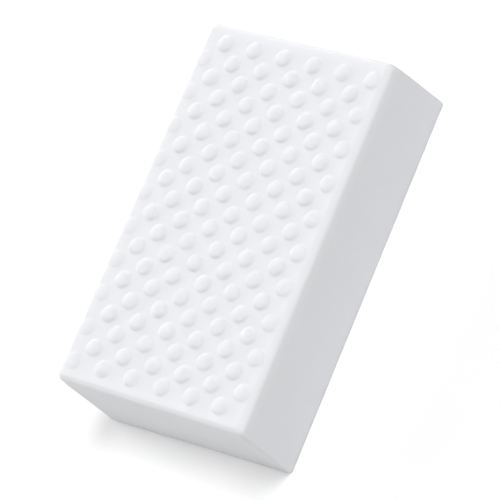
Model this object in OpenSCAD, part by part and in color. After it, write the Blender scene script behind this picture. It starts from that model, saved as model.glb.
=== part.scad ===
// Cleaning sponge: one block of white foam with rows of low round bumps on one broad face.
// It lies on its plain broad face. X runs across its width, Y along its length, Z through
// its thickness, and the origin is the middle of the plain face.

/* [Block] */
// Length of the block, along Y
block_length = 120; // [60:1:240]
// Width of the block, along X
block_width = 70; // [40:1:140]
// Thickness of the block, from the plain face to the face between the bumps
block_thickness = 31; // [12:1:60]
// Radius along the four edges of the bumpy face
face_edge_radius = 2.2; // [1:0.1:5]
// Radius of the four edges that run through the thickness
corner_radius = 1.2; // [0.4:0.1:2.5]

/* [Bumps] */
// Height of a bump above the face
bump_height = 1.3; // [0.6:0.1:2.5]
// Height of a bump that runs into an edge of the block, where it is worn low
edge_bump_height = 0.6; // [0.2:0.1:1.2]
// Diameter of a bump at its foot
bump_diameter = 5.4; // [4:0.1:7]
// Radius of the rounded shoulder between a bump's side and its crowned top
shoulder_radius = 0.9; // [0.2:0.1:2]
// Distance from a bump to the next one in its row, and from a row to the next but one
bump_pitch = 11.25; // [10:0.25:20]
// Distance from the +X side of the block to the middle of its nearest bumps
side_margin = 4.8; // [4:0.1:8]
// Distance from the +Y end of the block to the middle of the first row of bumps
end_margin = 6.9; // [4:0.1:10]
// Least distance from an edge of the block to the middle of a bump
least_margin = 2; // [1.5:0.1:4]

/* [Hidden] */

foam_white = [0.898, 0.906, 0.938];
// How near an edge the foot of a bump is when it counts as running into that edge
edge_reach = 1;
// How far bumps that run into an edge stay inside the block's outline
edge_inset = 0.4;
// Height of the surface that trims those bumps above the tops of the others
trim_lift = 0.1;
// Depth of a bump's root inside the block
root_depth = 2;

bump_radius = bump_diameter / 2;
trim_radius = face_edge_radius + bump_height;
first_x = block_width / 2 - side_margin;
first_y = block_length / 2 - end_margin;
lowest_x = least_margin - block_width / 2;
lowest_y = least_margin - block_length / 2;
// Every second row is shifted by half a pitch in both directions
columns = [for (x = [first_x : -bump_pitch : lowest_x]) x];
rows = [for (y = [first_y : -bump_pitch : lowest_y]) y];
shifted_columns = [for (x = [first_x - bump_pitch / 2 : -bump_pitch : lowest_x]) x];
shifted_rows = [for (y = [first_y - bump_pitch / 2 : -bump_pitch : lowest_y]) y];

$fn = 48;

// Square with its corner at the origin, minus the quarter disc that a fillet leaves
module fillet_waste(radius) {
    difference() {
        square(radius);
        translate([radius, radius]) circle(radius);
    }
}

// Rectangle on the X axis, centred on Y, with its two upper corners rounded
module arch_profile(width, height, radius) {
    difference() {
        translate([-width / 2, 0]) square([width, height]);
        translate([-width / 2, height]) mirror([0, 1]) fillet_waste(radius);
        translate([width / 2, height]) rotate(180) fillet_waste(radius);
    }
}

// Centred rectangle with four rounded corners
module plan_profile(width, length, radius) {
    difference() {
        square([width, length], center = true);
        for (side = [0, 1])
            mirror([side, 0]) for (end = [0, 1])
                mirror([0, end]) translate([-width / 2, -length / 2]) fillet_waste(radius);
    }
}

// Block on the plane Z = 0 with rounded upper edges and rounded upright edges
module rounded_block(width, length, height, top_radius, side_radius) {
    intersection() {
        linear_extrude(height) plan_profile(width, length, side_radius);
        rotate([90, 0, 0])
            linear_extrude(length, center = true) arch_profile(width, height, top_radius);
        rotate([90, 0, 90])
            linear_extrude(width, center = true) arch_profile(length, height, top_radius);
    }
}

// One bump: a low dome whose crown runs into a rounded shoulder, its foot at the face
module bump(height) {
    shoulder = min(shoulder_radius, 0.7 * height, 0.4 * bump_diameter);
    shoulder_x = bump_radius - shoulder;
    crown = (shoulder_x * shoulder_x + height * height - shoulder * shoulder)
        / (2 * (height - shoulder));
    meeting_x = crown * shoulder_x / (crown - shoulder);
    rotate_extrude() {
        translate([0, -root_depth]) square([bump_radius, root_depth]);
        intersection() {
            translate([0, height - crown]) circle(crown);
            square([meeting_x, height]);
        }
        intersection() {
            translate([shoulder_x, 0]) circle(shoulder);
            square([bump_radius, height]);
        }
    }
}

// Height of the bump at a place in plan
function height_at(x, y) =
    min(block_width / 2 - abs(x), block_length / 2 - abs(y)) < bump_radius + edge_reach
        ? min(edge_bump_height, bump_height)
        : bump_height;

module bump_grid(xs, ys) {
    for (x = xs, y = ys) translate([x, y, block_thickness]) bump(height_at(x, y));
}

module sponge() {
    color(foam_white) {
        rounded_block(
            block_width, block_length, block_thickness, face_edge_radius, corner_radius
        );
        intersection() {
            union() {
                bump_grid(columns, rows);
                bump_grid(shifted_columns, shifted_rows);
            }
            rounded_block(
                block_width - 2 * edge_inset,
                block_length - 2 * edge_inset,
                block_thickness + bump_height + trim_lift,
                trim_radius,
                corner_radius
            );
        }
    }
}

sponge();
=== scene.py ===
import math
import random

import bpy
import numpy as np
from mathutils import Matrix, Vector


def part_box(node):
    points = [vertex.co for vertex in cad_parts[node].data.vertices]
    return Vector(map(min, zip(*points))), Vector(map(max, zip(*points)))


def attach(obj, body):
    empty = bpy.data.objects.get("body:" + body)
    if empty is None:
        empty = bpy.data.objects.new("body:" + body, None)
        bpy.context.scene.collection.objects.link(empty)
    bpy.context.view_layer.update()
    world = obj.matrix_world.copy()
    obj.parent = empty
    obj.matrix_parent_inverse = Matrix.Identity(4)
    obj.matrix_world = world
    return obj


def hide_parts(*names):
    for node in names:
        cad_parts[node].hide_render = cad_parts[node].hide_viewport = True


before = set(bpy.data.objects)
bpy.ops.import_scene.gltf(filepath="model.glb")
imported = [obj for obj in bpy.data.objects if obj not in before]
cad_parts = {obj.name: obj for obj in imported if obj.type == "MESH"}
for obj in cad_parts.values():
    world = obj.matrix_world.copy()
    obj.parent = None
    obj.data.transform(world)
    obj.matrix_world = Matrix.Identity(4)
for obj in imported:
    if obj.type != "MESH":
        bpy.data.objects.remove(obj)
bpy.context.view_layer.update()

MM = 0.001
random.seed(7)

# The block, from its solid
NODE = "sponge"
low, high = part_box(NODE)
WIDTH = high[0] - low[0]
LENGTH = high[1] - low[1]
BUMP_HEIGHT = 1.3 * MM
FACE_Z = high[2] - BUMP_HEIGHT
FACE_EDGE_RADIUS = 2.2 * MM
CORNER_RADIUS = 1.2 * MM
BASE_EDGE_RADIUS = 0.5 * MM

# The bumps, as on the solid
BUMP_RADIUS = 2.7 * MM
SHOULDER_RADIUS = 0.9 * MM
BUMP_PITCH = 11.25 * MM
SIDE_MARGIN = 4.8 * MM
END_MARGIN = 6.9 * MM
LEAST_MARGIN = 2.0 * MM
EDGE_BUMP_HEIGHT = 0.6 * MM
EDGE_REACH = 1.0 * MM
EDGE_INSET = 0.4 * MM
TRIM_LIFT = 0.1 * MM

# What the foam adds to the bumps: soft feet, and a small spread of places and heights
FOOT_BLEND = 0.5 * MM
BUMP_SHIFT = 0.2 * MM
BUMP_HEIGHT_SPREAD = 0.1

# How the moulded rows lie against the cut sides, in X and Y: shifted in metres, skewed and
# stretched as ratios, and bowed by this much times the square of Y
GRID_SHIFT = (-0.33 * MM, 0.02 * MM)
GRID_SKEW = (-0.0046, -0.0183)
GRID_STRETCH = (1.006, 1.0)
GRID_BOW = (0.23, 0.10)

# The mesh: its cells on the face, round the edges and down the sides
CELL = 0.405 * MM
EDGE_CELLS = 7
SIDE_ROWS = 16
BASE_ROWS = 3
MID_EDGE = math.radians(45.0)
# Below the rounded edge, the upright corners narrow to their own radius over this height
CORNER_BLEND = 5.0 * MM
# The grid points within this reach of a bump are spread over its section
BUMP_REACH = 3.7 * MM
PROFILE_REACH = 1.6 * BUMP_REACH
PROFILE_STEP = 0.02 * MM
ARC_POINTS = 100
FLAT_POINTS = 60
# Bumps have faded out this near the block's outline, and are whole this much further in
FADE_END = 0.9 * MM
FADE_WIDTH = 0.8 * MM

# Out-of-square cut of the foam: how far each corner lies from a true block's, in millimetres
CUT_ERROR = {
    (-1, -1, 0): (0.6, -0.8, 0.5),
    (-1, -1, 1): (-0.9, 0.7, 1.0),
    (-1, 1, 0): (0.0, -0.2, 0.0),
    (-1, 1, 1): (0.1, 0.2, -0.1),
    (1, -1, 0): (1.0, -1.4, 0.2),
    (1, -1, 1): (0.4, -0.6, -0.3),
    (1, 1, 0): (0.1, 0.6, 0.0),
    (1, 1, 1): (-0.2, -0.1, 0.0),
}

# The foam: its two tints, its colour lightened along its rounded edges as a painted highlight, its
# finish and its relief
FOAM_TINT = (0.905, 0.912, 0.942)
FOAM_SHADE = (0.888, 0.897, 0.932)
PATCH_SIZE = 9.0 * MM
# Painted highlight along the face's rounded edges: the foam takes this lighter colour fully near
# the edge, and it fades out over the next few millimetres inward
EDGE_HIGHLIGHT_TINT = (0.943, 0.953, 0.99)
EDGE_HIGHLIGHT_REACH = 6.0 * MM
EDGE_HIGHLIGHT_FULL = 0.8 * MM
FOAM_ROUGHNESS = 0.5
FOAM_GLOSS = 0.08
SCATTER_WEIGHT = 0.35
SCATTER_DEPTH = 0.8 * MM
CELL_SIZE = 0.34 * MM
CELL_DEPTH = 0.06 * MM
CELL_STRENGTH = 0.25
GRAIN_SIZE = 1.5 * MM
GRAIN_DEPTH = 0.06 * MM
GRAIN_STRENGTH = 0.8
GRAIN_DETAIL = 3.0

# The colour sockets of a mix node
MIX_A = 6
MIX_B = 7
MIX_RESULT = 2

# The camera, from the perspective of the photograph
LENS_MM = 348.2
AIM = Vector((1.0, -2.4, 15.5)) * MM
CAMERA_AZIMUTH = 72.165
CAMERA_ELEVATION = 50.991
CAMERA_ROLL = -53.041
CAMERA_DISTANCE = 1446.3 * MM
CLIP_START = 0.05
CLIP_END = 20.0

# The light: azimuth, elevation, level and spread of each lamp, angles in degrees
WORLD_STRENGTH = 0.02
LAMPS = {
    "lamp_right": (15.0, 6.0, 0.05, 25.0),
    "lamp_back": (135.0, 6.0, 0.17, 25.0),
    "lamp_left": (195.0, 6.0, 0.27, 25.0),
    "lamp_front": (225.0, 6.0, 0.03, 25.0),
    "lamp_corner": (315.0, 6.0, 0.21, 25.0),
    "lamp_side": (162.0, 24.0, 0.19, 25.0),
    "lamp_high": (60.0, 68.0, 0.48, 25.0),
    "lamp_top": (0.0, 90.0, 0.32, 25.0),
}

# The floor: half its side in metres, its colour under the lamps, and the light it adds where seen
FLOOR_HALF = 3.0
FLOOR_GREY = 0.92
FLOOR_WHITENING = 0.19


def smooth_step(t):
    t = np.clip(t, 0.0, 1.0)
    return t * t * (3.0 - 2.0 * t)


def smooth_max(a, b, blend):
    reach = np.clip(0.5 + 0.5 * (a - b) / blend, 0.0, 1.0)
    return b + (a - b) * reach + blend * reach * (1.0 - reach)


def smooth_min(a, b, blend):
    return -smooth_max(-a, -b, blend)


def corner_shifts(points):
    """How far the out-of-square cut moves each point, blended evenly between the corners."""
    u = points[:, 0] / WIDTH + 0.5
    v = points[:, 1] / LENGTH + 0.5
    w = points[:, 2] / FACE_Z
    shifts = np.zeros_like(points)
    for (side, end, level), shift in CUT_ERROR.items():
        across = u if side > 0 else 1.0 - u
        along = v if end > 0 else 1.0 - v
        height = w if level else 1.0 - w
        shifts += (across * along * height)[:, None] * np.array(shift) * MM
    return shifts


def height_share(x, y):
    """Height of the bump at a place in plan, as a share of a full bump's."""
    outline = min(WIDTH / 2.0 - abs(x), LENGTH / 2.0 - abs(y))
    return EDGE_BUMP_HEIGHT / BUMP_HEIGHT if outline < BUMP_RADIUS + EDGE_REACH else 1.0


def bump_centres():
    """Middle in plan and height share of each bump, every second row shifted by half a pitch."""
    centres = []
    for shift in (0.0, BUMP_PITCH / 2.0):
        y = LENGTH / 2.0 - END_MARGIN - shift
        while y >= LEAST_MARGIN - LENGTH / 2.0:
            x = WIDTH / 2.0 - SIDE_MARGIN - shift
            while x >= LEAST_MARGIN - WIDTH / 2.0:
                turn = random.uniform(0.0, 2.0 * math.pi)
                size = random.uniform(0.0, BUMP_SHIFT)
                spread = random.uniform(-BUMP_HEIGHT_SPREAD, 0.0)
                grid_x = GRID_SHIFT[0] + GRID_STRETCH[0] * x + GRID_SKEW[0] * y
                grid_y = GRID_SHIFT[1] + GRID_STRETCH[1] * y + GRID_SKEW[1] * x
                centres.append((
                    grid_x + GRID_BOW[0] * y * y + size * math.cos(turn),
                    grid_y + GRID_BOW[1] * y * y + size * math.sin(turn),
                    height_share(x, y) * (1.0 + spread),
                ))
                x -= BUMP_PITCH
            y -= BUMP_PITCH
    centres = np.array(centres)
    on_face = np.column_stack([centres[:, :2], np.full(len(centres), FACE_Z)])
    centres[:, :2] -= corner_shifts(on_face)[:, :2]
    return centres


def nearest_bump(x, y, centres):
    """Distance to the nearest bump and the index of that bump, for arrays of points."""
    best = np.full(x.shape, np.inf)
    index = np.zeros(x.shape, dtype=int)
    for k, (cx, cy, _) in enumerate(centres):
        near = (np.abs(x - cx) < BUMP_PITCH / 2.0) & (np.abs(y - cy) < BUMP_PITCH / 2.0)
        rho = np.hypot(x[near] - cx, y[near] - cy)
        closer = rho < best[near]
        ids = np.flatnonzero(near.ravel())[closer]
        best.ravel()[ids] = rho[closer]
        index.ravel()[ids] = k
    return best, index


def bump_profile():
    """Section of a bump, from its top to the face around it: radii and heights, evenly apart."""
    shoulder_x = BUMP_RADIUS - SHOULDER_RADIUS
    crown = shoulder_x ** 2 + BUMP_HEIGHT ** 2 - SHOULDER_RADIUS ** 2
    crown /= 2.0 * (BUMP_HEIGHT - SHOULDER_RADIUS)
    lean = math.asin(shoulder_x / (crown - SHOULDER_RADIUS))
    on_crown = np.linspace(0.0, lean, ARC_POINTS)
    on_shoulder = np.linspace(lean, math.pi / 2.0, ARC_POINTS)[1:]
    beyond = np.linspace(BUMP_RADIUS, PROFILE_REACH, FLAT_POINTS)[1:]
    r = np.concatenate([
        crown * np.sin(on_crown), shoulder_x + SHOULDER_RADIUS * np.sin(on_shoulder), beyond
    ])
    z = np.concatenate([
        BUMP_HEIGHT - crown * (1.0 - np.cos(on_crown)),
        SHOULDER_RADIUS * np.cos(on_shoulder),
        np.zeros(len(beyond)),
    ])
    steps = np.concatenate([[0.0], np.cumsum(np.hypot(np.diff(r), np.diff(z)))])
    even = np.arange(0.0, steps[-1], PROFILE_STEP)
    r, z = np.interp(even, steps, r), np.interp(even, steps, z)
    half = int(round(FOOT_BLEND / PROFILE_STEP))
    weights = np.hanning(2 * half + 3)[1:-1]
    weights /= weights.sum()
    r = np.convolve(np.concatenate([-r[half:0:-1], r]), weights, mode="valid")
    z = np.convolve(np.concatenate([z[half:0:-1], z]), weights, mode="valid")
    keep = r <= BUMP_REACH
    return r[keep], z[keep]


def raise_bumps(x, y, centres):
    """Spreads the grid points near each bump evenly over its section; gives places and heights."""
    radii, heights = bump_profile()
    rho, index = nearest_bump(x, y, centres)
    near = rho < BUMP_REACH
    share = rho[near] / BUMP_REACH * (len(radii) - 1)
    places = np.arange(len(radii))
    out = np.interp(share, places, radii)
    scale = out / np.maximum(rho[near], 1e-9)
    cx, cy = centres[index[near], 0], centres[index[near], 1]
    lift = np.zeros_like(x)
    lift[near] = np.interp(share, places, heights) * centres[index[near], 2]
    x[near] = cx + (x[near] - cx) * scale
    y[near] = cy + (y[near] - cy) * scale
    return x, y, lift


def edge_height(x, y, top, radius, inset):
    """Height of a surface that is flat at top and rounded down towards the block's outline."""
    gap_x = np.clip(WIDTH / 2.0 - inset - np.abs(x), 0.0, radius)
    gap_y = np.clip(LENGTH / 2.0 - inset - np.abs(y), 0.0, radius)
    reach = np.minimum(np.hypot(radius - gap_x, radius - gap_y), radius)
    return top - radius + np.sqrt(radius * radius - reach * reach)


def trim_bumps(x, y, z, lift):
    """Adds the bumps' heights to the face, lower where a bump runs into the rounded edge."""
    trim = edge_height(
        x, y, FACE_Z + BUMP_HEIGHT + TRIM_LIFT, FACE_EDGE_RADIUS + BUMP_HEIGHT, EDGE_INSET
    )
    over = smooth_min(FACE_Z + lift, trim, FOOT_BLEND) - z
    lift = smooth_max(over, np.zeros_like(over), FOOT_BLEND)
    outline = np.minimum(WIDTH / 2.0 - np.abs(x), LENGTH / 2.0 - np.abs(y))
    return z + lift * smooth_step((outline - FADE_END) / FADE_WIDTH)


def axis_steps(half):
    """Inner coordinates and leans of the grid lines across one direction of the face."""
    inner = half - FACE_EDGE_RADIUS
    cells = int(round(2.0 * inner / CELL))
    flat = np.linspace(-inner, inner, cells + 1)
    lean = np.tan(np.arange(1, EDGE_CELLS + 1) / EDGE_CELLS * MID_EDGE)
    coords = np.concatenate([np.full(EDGE_CELLS, -inner), flat, np.full(EDGE_CELLS, inner)])
    leans = np.concatenate([-lean[::-1], np.zeros(cells + 1), lean])
    return coords, leans


def face_points(centres):
    """Grid of points over the bumpy face, out to the middle of its rounded edges."""
    xs, lean_x = axis_steps(WIDTH / 2.0)
    ys, lean_y = axis_steps(LENGTH / 2.0)
    grid_x, grid_y = np.meshgrid(xs, ys, indexing="ij")
    across, along = np.meshgrid(lean_x, lean_y, indexing="ij")
    scale = FACE_EDGE_RADIUS / np.sqrt(across ** 2 + along ** 2 + 1.0)
    x = grid_x + across * scale
    y = grid_y + along * scale
    z = FACE_Z - FACE_EDGE_RADIUS + scale
    x, y, lift = raise_bumps(x, y, centres)
    z = trim_bumps(x, y, z, lift)
    return np.stack([x, y, z], axis=-1), (xs, lean_x), (ys, lean_y)


def outline_columns(xs, lean_x, ys, lean_y):
    """The face grid's border, anticlockwise: grid indices and outward plan directions."""
    last_x, last_y = len(xs) - 1, len(ys) - 1
    columns = []
    for j in range(last_y):
        columns.append((last_x, j, 1.0, lean_y[j]))
    for i in range(last_x, 0, -1):
        columns.append((i, last_y, lean_x[i], 1.0))
    for j in range(last_y, 0, -1):
        columns.append((0, j, -1.0, lean_y[j]))
    for i in range(last_x):
        columns.append((i, 0, lean_x[i], -1.0))
    return columns


def edge_point(x, y, out_x, out_y, rise):
    """Point on the lower half of the face's rounded edge, where its normal has this rise."""
    scale = FACE_EDGE_RADIUS / math.sqrt(out_x ** 2 + out_y ** 2 + rise ** 2)
    return x + out_x * scale, y + out_y * scale, FACE_Z - FACE_EDGE_RADIUS + rise * scale


def side_point(x, y, out_x, out_y, z, inset):
    """Point on a side or an upright corner of the block."""
    reach = FACE_EDGE_RADIUS
    if out_x != 0.0 and out_y != 0.0:
        below = (FACE_Z - FACE_EDGE_RADIUS - z) / CORNER_BLEND
        reach += (CORNER_RADIUS - FACE_EDGE_RADIUS) * float(smooth_step(below))
        x = math.copysign(WIDTH / 2.0 - reach, x)
        y = math.copysign(LENGTH / 2.0 - reach, y)
    size = math.hypot(out_x, out_y)
    return x + out_x / size * (reach - inset), y + out_y / size * (reach - inset), z


def side_rows():
    """Height and inset of each row of points from the rounded edge down to the base."""
    top = FACE_Z - FACE_EDGE_RADIUS
    rows = []
    for step in range(1, SIDE_ROWS + 1):
        rows.append((top - (top - BASE_EDGE_RADIUS) * (step / SIDE_ROWS), 0.0))
    for step in range(1, BASE_ROWS + 1):
        angle = math.radians(90.0 * step / BASE_ROWS)
        z = BASE_EDGE_RADIUS * (1.0 - math.sin(angle))
        rows.append((z, BASE_EDGE_RADIUS * (1.0 - math.cos(angle))))
    return rows


def side_points(columns, xs, ys):
    """Rings of points round the block, from the middle of its rounded edge down to its base."""
    rings = []
    for step in range(1, EDGE_CELLS + 1):
        rise = math.tan(MID_EDGE * (1.0 - step / EDGE_CELLS))
        rings.append([edge_point(xs[i], ys[j], *out, rise) for i, j, *out in columns])
    for row in side_rows():
        rings.append([side_point(xs[i], ys[j], *out, *row) for i, j, *out in columns])
    return np.array(rings)


def edge_highlight_share(points):
    """1 along the rounded edges of the face, where a painted highlight lightens the foam, 0 some
    way from them.
    """
    inward = np.minimum(WIDTH / 2.0 - np.abs(points[:, 0]), LENGTH / 2.0 - np.abs(points[:, 1]))
    away = inward + np.maximum(FACE_Z - points[:, 2], 0.0)
    return smooth_step((EDGE_HIGHLIGHT_REACH - away) / (EDGE_HIGHLIGHT_REACH - EDGE_HIGHLIGHT_FULL))


def block_faces(n_x, n_y, columns, n_rings):
    """Faces of the grid over the face, of the rings down the sides, and of the base."""
    faces = []
    for i in range(n_x - 1):
        for j in range(n_y - 1):
            a = i * n_y + j
            faces.append((a, a + n_y, a + n_y + 1, a + 1))
    count = len(columns)
    above = [i * n_y + j for i, j, _, _ in columns]
    for row in range(n_rings):
        start = n_x * n_y + row * count
        below = list(range(start, start + count))
        for k in range(count):
            n = (k + 1) % count
            faces.append((above[k], below[k], below[n], above[n]))
        above = below
    faces.append(tuple(reversed(above)))
    return faces


def sponge_mesh():
    """Closed mesh of the whole block: bumpy face, sides and flat base."""
    face, (xs, lean_x), (ys, lean_y) = face_points(bump_centres())
    columns = outline_columns(xs, lean_x, ys, lean_y)
    rings = side_points(columns, xs, ys)
    points = np.concatenate([face.reshape(-1, 3), rings.reshape(-1, 3)])
    # Share of the painted highlight along the face's rounded edges, taken before the cut error
    # moves the points
    edge_highlight = edge_highlight_share(points)
    points += corner_shifts(points)
    faces = block_faces(len(xs), len(ys), columns, len(rings))
    mesh = bpy.data.meshes.new("foam_block")
    mesh.from_pydata(points.tolist(), [], faces)
    mesh.validate()
    mesh.attributes.new("edge_highlight", "FLOAT", "POINT").data.foreach_set("value", edge_highlight)
    mesh.polygons.foreach_set("use_smooth", [True] * len(mesh.polygons))
    mesh.polygons[len(mesh.polygons) - 1].use_smooth = False
    mesh.update()
    return mesh


def texture(nodes, links, kind, size, place, detail=2.0):
    """A noise or cell texture in the piece's own space, with features of this size in metres."""
    node = nodes.new(kind)
    node.inputs["Scale"].default_value = 1.0 / size
    if "Detail" in node.inputs:
        node.inputs["Detail"].default_value = detail
    links.new(place, node.inputs["Vector"])
    return node


def colour_mix(nodes, links, factor, colour):
    """A node that mixes its first colour with this one, by this factor."""
    node = nodes.new("ShaderNodeMix")
    node.data_type = "RGBA"
    node.inputs[MIX_B].default_value = (*colour, 1.0)
    links.new(factor, node.inputs["Factor"])
    return node


def relief(nodes, links, height, strength, depth):
    """A bump node over this height."""
    node = nodes.new("ShaderNodeBump")
    node.inputs["Strength"].default_value = strength
    node.inputs["Distance"].default_value = depth
    links.new(height, node.inputs["Height"])
    return node


def foam_material():
    """Matt white foam: light scatters a little inside it, and fine cells roughen its skin."""
    material = bpy.data.materials.new("foam")
    material.use_nodes = True
    nodes, links = material.node_tree.nodes, material.node_tree.links
    shader = nodes["Principled BSDF"]
    shader.inputs["Roughness"].default_value = FOAM_ROUGHNESS
    shader.inputs["Specular IOR Level"].default_value = FOAM_GLOSS
    shader.inputs["Subsurface Weight"].default_value = SCATTER_WEIGHT
    shader.inputs["Subsurface Radius"].default_value = (1.0, 1.0, 1.0)
    shader.inputs["Subsurface Scale"].default_value = SCATTER_DEPTH
    place = nodes.new("ShaderNodeTexCoord").outputs["Object"]

    patches = texture(nodes, links, "ShaderNodeTexNoise", PATCH_SIZE, place)
    tint = colour_mix(nodes, links, patches.outputs["Fac"], FOAM_TINT)
    tint.inputs[MIX_A].default_value = (*FOAM_SHADE, 1.0)
    # Painted highlight: the base colour is lighter along the face's rounded edges
    edge_highlight = nodes.new("ShaderNodeAttribute")
    edge_highlight.attribute_name = "edge_highlight"
    lighter = colour_mix(nodes, links, edge_highlight.outputs["Fac"], EDGE_HIGHLIGHT_TINT)
    links.new(tint.outputs[MIX_RESULT], lighter.inputs[MIX_A])
    links.new(lighter.outputs[MIX_RESULT], shader.inputs["Base Color"])

    cells = texture(nodes, links, "ShaderNodeTexVoronoi", CELL_SIZE, place)
    cell_relief = relief(nodes, links, cells.outputs["Distance"], CELL_STRENGTH, CELL_DEPTH)
    grain = texture(nodes, links, "ShaderNodeTexNoise", GRAIN_SIZE, place, GRAIN_DETAIL)
    grain_relief = relief(nodes, links, grain.outputs["Fac"], GRAIN_STRENGTH, GRAIN_DEPTH)
    links.new(cell_relief.outputs["Normal"], grain_relief.inputs["Normal"])
    links.new(grain_relief.outputs["Normal"], shader.inputs["Normal"])
    return material


def make_sponge():
    sponge = bpy.data.objects.new("foam_block", sponge_mesh())
    bpy.context.scene.collection.objects.link(sponge)
    sponge.data.materials.append(foam_material())
    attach(sponge, "root")
    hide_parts(NODE)


def seen_directly(nodes, links):
    """1 for what the camera, a mirror or glass shows, 0 for light on its way to a surface."""
    path = nodes.new("ShaderNodeLightPath")
    seen = path.outputs["Is Camera Ray"]
    for name in ("Is Glossy Ray", "Is Transmission Ray"):
        either = nodes.new("ShaderNodeMath")
        either.operation = "MAXIMUM"
        links.new(seen, either.inputs[0])
        links.new(path.outputs[name], either.inputs[1])
        seen = either.outputs[0]
    return seen


def floor_material():
    """Matt white that takes the block's shadow, with a little light added where it is seen."""
    material = bpy.data.materials.new("floor_white")
    material.use_nodes = True
    nodes, links = material.node_tree.nodes, material.node_tree.links
    matt = nodes["Principled BSDF"]
    matt.inputs["Base Color"].default_value = (FLOOR_GREY, FLOOR_GREY, FLOOR_GREY, 1.0)
    matt.inputs["Roughness"].default_value = 1.0
    matt.inputs["Specular IOR Level"].default_value = 0.0
    level = nodes.new("ShaderNodeMath")
    level.operation = "MULTIPLY"
    level.inputs[1].default_value = FLOOR_WHITENING
    links.new(seen_directly(nodes, links), level.inputs[0])
    glow = nodes.new("ShaderNodeEmission")
    links.new(level.outputs[0], glow.inputs["Strength"])
    both = nodes.new("ShaderNodeAddShader")
    links.new(matt.outputs[0], both.inputs[0])
    links.new(glow.outputs[0], both.inputs[1])
    links.new(both.outputs[0], nodes["Material Output"].inputs["Surface"])
    return material


def make_floor():
    corners = [(-1.0, -1.0), (1.0, -1.0), (1.0, 1.0), (-1.0, 1.0)]
    mesh = bpy.data.meshes.new("floor")
    mesh.from_pydata([(FLOOR_HALF * x, FLOOR_HALF * y, 0.0) for x, y in corners], [], [range(4)])
    floor = bpy.data.objects.new("floor", mesh)
    bpy.context.scene.collection.objects.link(floor)
    mesh.materials.append(floor_material())


def make_camera():
    azimuth = math.radians(CAMERA_AZIMUTH)
    elevation = math.radians(CAMERA_ELEVATION)
    back = Vector((
        math.cos(elevation) * math.sin(azimuth),
        -math.cos(elevation) * math.cos(azimuth),
        math.sin(elevation),
    ))
    level = (-back).cross(Vector((0.0, 0.0, 1.0))).normalized()
    upright = level.cross(-back)
    roll = math.radians(CAMERA_ROLL)
    right = level * math.cos(roll) + upright * math.sin(roll)
    up = back.cross(right)
    data = bpy.data.cameras.new("camera")
    data.lens = LENS_MM
    data.clip_start = CLIP_START
    data.clip_end = CLIP_END
    camera = bpy.data.objects.new("camera", data)
    turn = Matrix((right, up, back)).transposed().to_4x4()
    camera.matrix_world = Matrix.Translation(AIM + back * CAMERA_DISTANCE) @ turn
    bpy.context.scene.collection.objects.link(camera)
    bpy.context.scene.camera = camera


def make_lamps():
    for name, (azimuth, elevation, level, spread) in LAMPS.items():
        data = bpy.data.lights.new(name, "SUN")
        data.energy = level * math.pi
        data.angle = math.radians(spread)
        lamp = bpy.data.objects.new(name, data)
        flat = math.cos(math.radians(elevation))
        direction = Vector((
            flat * math.cos(math.radians(azimuth)),
            flat * math.sin(math.radians(azimuth)),
            math.sin(math.radians(elevation)),
        ))
        lamp.rotation_euler = direction.to_track_quat("Z", "Y").to_euler()
        bpy.context.scene.collection.objects.link(lamp)


def make_world():
    """White where it is seen, and nearly dark as a light on the block."""
    world = bpy.data.worlds.new("studio")
    world.use_nodes = True
    nodes, links = world.node_tree.nodes, world.node_tree.links
    background = nodes["Background"]
    background.inputs["Color"].default_value = (1.0, 1.0, 1.0, 1.0)
    level = nodes.new("ShaderNodeMath")
    level.operation = "MULTIPLY_ADD"
    level.inputs[1].default_value = 1.0 - WORLD_STRENGTH
    level.inputs[2].default_value = WORLD_STRENGTH
    links.new(seen_directly(nodes, links), level.inputs[0])
    links.new(level.outputs[0], background.inputs["Strength"])
    bpy.context.scene.world = world


make_camera()
make_sponge()
make_floor()
make_lamps()
make_world()
bpy.context.scene.view_settings.view_transform = "Standard"
